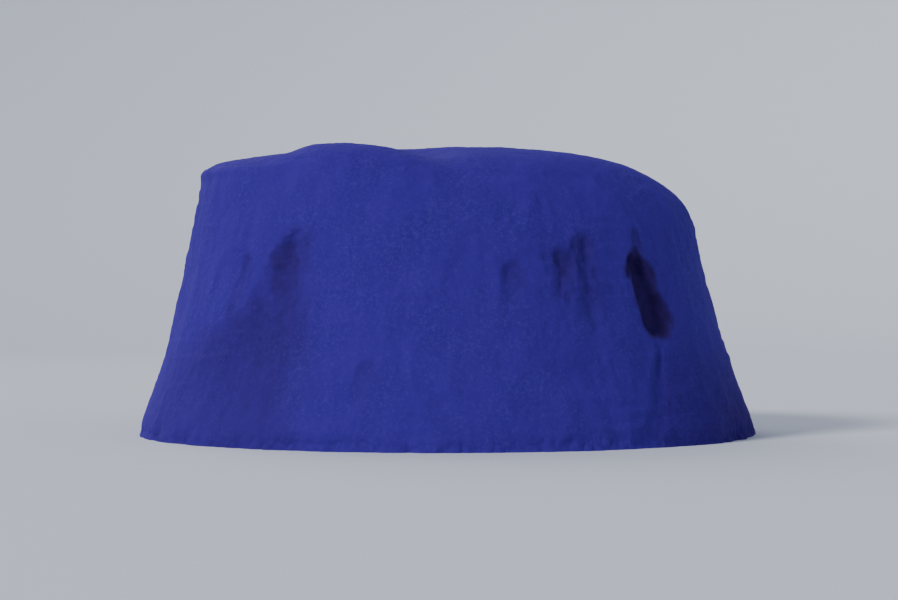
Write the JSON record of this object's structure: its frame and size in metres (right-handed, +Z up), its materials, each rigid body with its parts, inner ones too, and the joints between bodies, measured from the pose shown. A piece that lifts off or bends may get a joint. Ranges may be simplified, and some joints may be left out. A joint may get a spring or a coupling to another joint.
{
  "type": "snow igloo",
  "caption": "Free-standing snow shelter: a dome of snow blocks under a thick wind-packed coat, with a low arched doorway at the rear and a vent in the roof.",
  "frame": {"origin": "on the ground, under the middle of the room and of the footprint", "axes": "+Z up; -Y towards the front, which the picture shows; +X to the right seen from the front; the doorway is in the rear wall, towards +Y"},
  "size_m": [4.72, 4.6889, 2.1499],
  "materials": {
    "snow_blocks": "matte",
    "doorway_blocks": "matte",
    "coat_snow": "matte",
    "old_snow": "matte",
    "roof_snow": "matte"
  },
  "bodies": {
    "root": {"block_course_1": "snow_blocks", "block_course_2": "snow_blocks", "block_course_3": "snow_blocks", "block_course_4": "snow_blocks", "block_course_5": "snow_blocks", "block_course_6": "snow_blocks", "block_course_7": "snow_blocks", "king_block": "snow_blocks", "doorway_left_jamb": "doorway_blocks", "doorway_right_jamb": "doorway_blocks", "doorway_arch": "doorway_blocks", "coat_front_left": "coat_snow", "coat_front_right": "coat_snow", "coat_right_front": "old_snow", "coat_right_rear": "old_snow", "coat_rear_right": "coat_snow", "coat_doorway_right": "coat_snow", "coat_over_doorway": "coat_snow", "coat_doorway_left": "coat_snow", "coat_rear_left": "coat_snow", "coat_left_front": "coat_snow", "roof_front": "roof_snow", "roof_right": "roof_snow", "roof_rear_right": "roof_snow", "roof_rear": "roof_snow", "roof_rear_left": "roof_snow", "roof_front_left": "roof_snow", "roof_crown": "roof_snow"}
  },
  "joints": []
}
